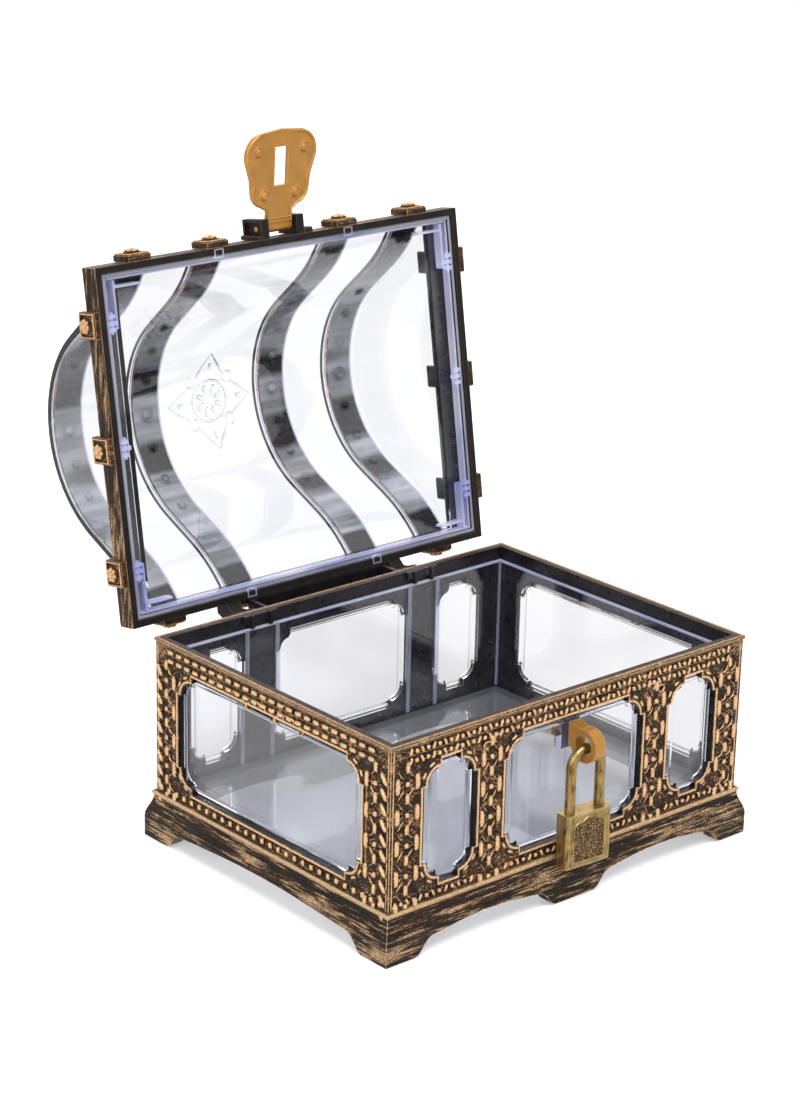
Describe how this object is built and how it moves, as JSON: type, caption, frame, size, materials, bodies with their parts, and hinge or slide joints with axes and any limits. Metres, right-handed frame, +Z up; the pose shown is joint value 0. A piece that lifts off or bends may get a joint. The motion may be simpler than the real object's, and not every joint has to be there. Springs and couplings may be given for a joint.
{
  "type": "treasure chest card box",
  "caption": "Clear chest-shaped card box with a bronze filigree frame, a hinged vaulted lid, a fold-over hasp and a padlock on a staple.",
  "frame": {"origin": "centre of the base's footprint, on the surface that the feet stand on", "axes": "+Z up, +X to the right along the front wall, -Y out of the front wall where the padlock hangs, +Y towards the hinge; the lid is stored open"},
  "size_m": [0.1928, 0.2418, 0.2659],
  "materials": {
    "bronze_abs": "moulded ABS, near-black brown, dry-brushed with copper gold",
    "charcoal_abs": "moulded ABS, plain charcoal",
    "clear_styrene": "clear polystyrene with a faint lavender edge",
    "ochre_gold_abs": "satin gold-painted plastic",
    "antique_brass": "antiqued brass plate",
    "pebbled_brass": "darkened brass with a pebbled grain",
    "steel": "bright steel wire"
  },
  "bodies": {
    "base": {"plinth": "bronze_abs", "front_wall": "bronze_abs", "back_wall": "bronze_abs", "left_wall": "bronze_abs", "right_wall": "bronze_abs", "clear_tray": "clear_styrene", "hinge_shelf": "charcoal_abs", "left_hinge_bracket": "charcoal_abs", "right_hinge_bracket": "charcoal_abs", "left_hinge_pin": "steel", "right_hinge_pin": "steel", "staple": "ochre_gold_abs", "staple_block": "clear_styrene", "staple_nut": "ochre_gold_abs"},
    "lid": {"lid_rim": "bronze_abs", "left_hinge_arm": "bronze_abs", "right_hinge_arm": "bronze_abs", "clear_vault": "clear_styrene", "outer_left_strap": "bronze_abs", "inner_left_strap": "bronze_abs", "inner_right_strap": "bronze_abs", "outer_right_strap": "bronze_abs", "strap_rivets": "bronze_abs", "front_bosses": "bronze_abs", "rear_bosses": "bronze_abs", "left_end_bosses": "bronze_abs", "right_end_bosses": "bronze_abs", "boss_rivets": "bronze_abs", "left_hasp_ear": "bronze_abs", "right_hasp_ear": "bronze_abs", "hasp_pin": "ochre_gold_abs"},
    "hasp": {"hasp": "ochre_gold_abs"},
    "shackle": {"shackle": "antique_brass"},
    "lock_case": {"lock_case": "antique_brass", "front_lock_panel": "pebbled_brass", "back_lock_panel": "pebbled_brass", "lock_bottom_cap": "antique_brass", "latch_bolt": "steel"},
    "key_plug": {"key_plug": "antique_brass", "plug_clip": "steel"}
  },
  "joints": [
    {"name": "lid_hinge", "type": "hinge", "parent": "base", "child": "lid", "pos_m": [0, 0.0764, 0.0784], "axis": [1, 0, 0], "range_deg": [0, 99.2]},
    {"name": "hasp_hinge", "type": "hinge", "parent": "lid", "child": "hasp", "pos_m": [0, 0.11112, 0.22585], "axis": [1, 0, 0], "range_deg": [-60, 78.3]},
    {"name": "shackle_swing", "type": "hinge", "parent": "base", "child": "shackle", "pos_m": [0, -0.0768, 0.0639], "axis": [1, 0, 0], "range_deg": [-75, 0]},
    {"name": "lock_slide", "type": "slide", "parent": "shackle", "child": "lock_case", "axis": [0, 0, -1], "range_m": [0, 0.0044]},
    {"name": "key_turn", "type": "hinge", "parent": "lock_case", "child": "key_plug", "pos_m": [-0.0006, -0.0768, 0.02], "axis": [0, 0, 1], "range_deg": [0, 90]}
  ]
}
